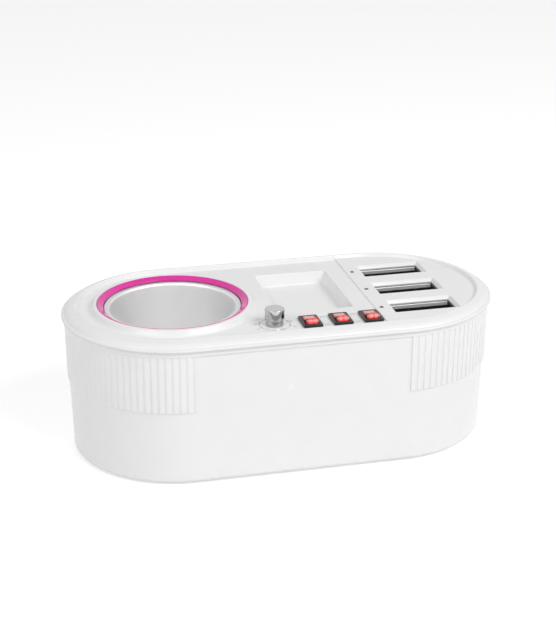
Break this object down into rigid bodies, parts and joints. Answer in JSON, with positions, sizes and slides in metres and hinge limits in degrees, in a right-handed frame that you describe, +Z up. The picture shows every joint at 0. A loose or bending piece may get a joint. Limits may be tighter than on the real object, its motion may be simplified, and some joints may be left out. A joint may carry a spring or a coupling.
{
  "type": "wax heater",
  "caption": "Race-track wax heater with a round lift-out wax pot, an open tray, upright cartridge wells with indicator lamps, rocker switches and a turning thermostat knob.",
  "frame": {"origin": "on the surface that it stands on, under the middle of the body", "axes": "+X along the body from the wax pot towards the cartridge wells, +Y from the switches at the front to the mains inlet at the back, +Z up"},
  "size_m": [0.3408, 0.1744, 0.1264],
  "materials": {
    "white_abs": "glossy moulded white ABS",
    "pink_acrylic": "glossy translucent pink acrylic",
    "aluminium": "satin drawn aluminium",
    "polished_aluminium": "bright rolled aluminium sheet",
    "chrome": "chrome plate",
    "zinc_plated_steel": "zinc plated",
    "spring_steel": "blued spring steel",
    "nickel_plate": "nickel-plated brass",
    "black_nylon": "fine-textured black nylon",
    "dark_phenolic": "moulded phenolic",
    "natural_nylon": "natural nylon",
    "red_lens": "transparent red polycarbonate",
    "foot_rubber": "matt rubber",
    "mica_heater": "mica and glass cloth",
    "heater_ceramic": "insulated ceramic heater plate",
    "circuit_board": "solder-masked laminate",
    "brown_wire": "PVC sleeve",
    "blue_wire": "PVC sleeve",
    "green_wire": "PVC sleeve"
  },
  "bodies": {
    "casing": {"housing_shell": "white_abs", "top_panel": "white_abs", "base_plate": "white_abs", "rubber_foot_1": "foot_rubber", "rubber_foot_2": "foot_rubber", "rubber_foot_3": "foot_rubber", "rubber_foot_4": "foot_rubber", "base_screw_1": "zinc_plated_steel", "base_screw_2": "zinc_plated_steel", "base_screw_3": "zinc_plated_steel", "base_screw_4": "zinc_plated_steel", "lid_screw_1": "zinc_plated_steel", "lid_screw_2": "zinc_plated_steel", "lid_screw_3": "zinc_plated_steel", "lid_screw_4": "zinc_plated_steel", "pot_ring": "pink_acrylic", "heating_chamber": "aluminium", "pot_heater_band": "mica_heater", "thermal_cutout": "dark_phenolic", "chamber_screw_1": "zinc_plated_steel", "chamber_screw_2": "zinc_plated_steel", "chamber_screw_3": "zinc_plated_steel", "cartridge_sleeve_1": "polished_aluminium", "cartridge_sleeve_2": "polished_aluminium", "cartridge_sleeve_3": "polished_aluminium", "sleeve_heater_1": "heater_ceramic", "sleeve_heater_2": "heater_ceramic", "sleeve_heater_3": "heater_ceramic", "heater_clip_1": "spring_steel", "heater_clip_2": "spring_steel", "heater_clip_3": "spring_steel", "sleeve_bracket": "zinc_plated_steel", "bracket_screw_1": "zinc_plated_steel", "bracket_screw_2": "zinc_plated_steel", "indicator_board": "circuit_board", "indicator_led_1": "red_lens", "indicator_led_2": "red_lens", "indicator_led_3": "red_lens", "switch_body_1": "black_nylon", "switch_body_2": "black_nylon", "switch_body_3": "black_nylon", "thermostat_body": "dark_phenolic", "thermostat_nut": "zinc_plated_steel", "mains_inlet": "black_nylon", "inlet_pin_live": "nickel_plate", "inlet_pin_neutral": "nickel_plate", "inlet_pin_earth": "nickel_plate", "terminal_block": "natural_nylon", "live_wire": "brown_wire", "neutral_wire": "blue_wire", "earth_wire": "green_wire", "pot_heater_wire": "brown_wire", "switch_wire": "brown_wire"},
    "pot": {"wax_pot": "aluminium"},
    "knob": {"control_knob": "chrome", "thermostat_shaft": "zinc_plated_steel"},
    "rocker_1": {"switch_rocker_1": "red_lens"},
    "rocker_2": {"switch_rocker_2": "red_lens"},
    "rocker_3": {"switch_rocker_3": "red_lens"}
  },
  "joints": [
    {"name": "pot_lift", "type": "slide", "parent": "casing", "child": "pot", "axis": [0, 0, 1], "range_m": [0, 0.1]},
    {"name": "knob_turn", "type": "hinge", "parent": "casing", "child": "knob", "pos_m": [-0.01645, -0.0539, 0.1137], "axis": [0, 0, -1], "range_deg": [0, 270]},
    {"name": "rocker_1_tilt", "type": "hinge", "parent": "casing", "child": "rocker_1", "pos_m": [0.01085, -0.0567, 0.1126], "axis": [1, 0, 0], "range_deg": [0, 24]},
    {"name": "rocker_2_tilt", "type": "hinge", "parent": "casing", "child": "rocker_2", "pos_m": [0.03465, -0.0567, 0.1126], "axis": [1, 0, 0], "range_deg": [0, 24]},
    {"name": "rocker_3_tilt", "type": "hinge", "parent": "casing", "child": "rocker_3", "pos_m": [0.05845, -0.0567, 0.1126], "axis": [1, 0, 0], "range_deg": [0, 24]}
  ]
}
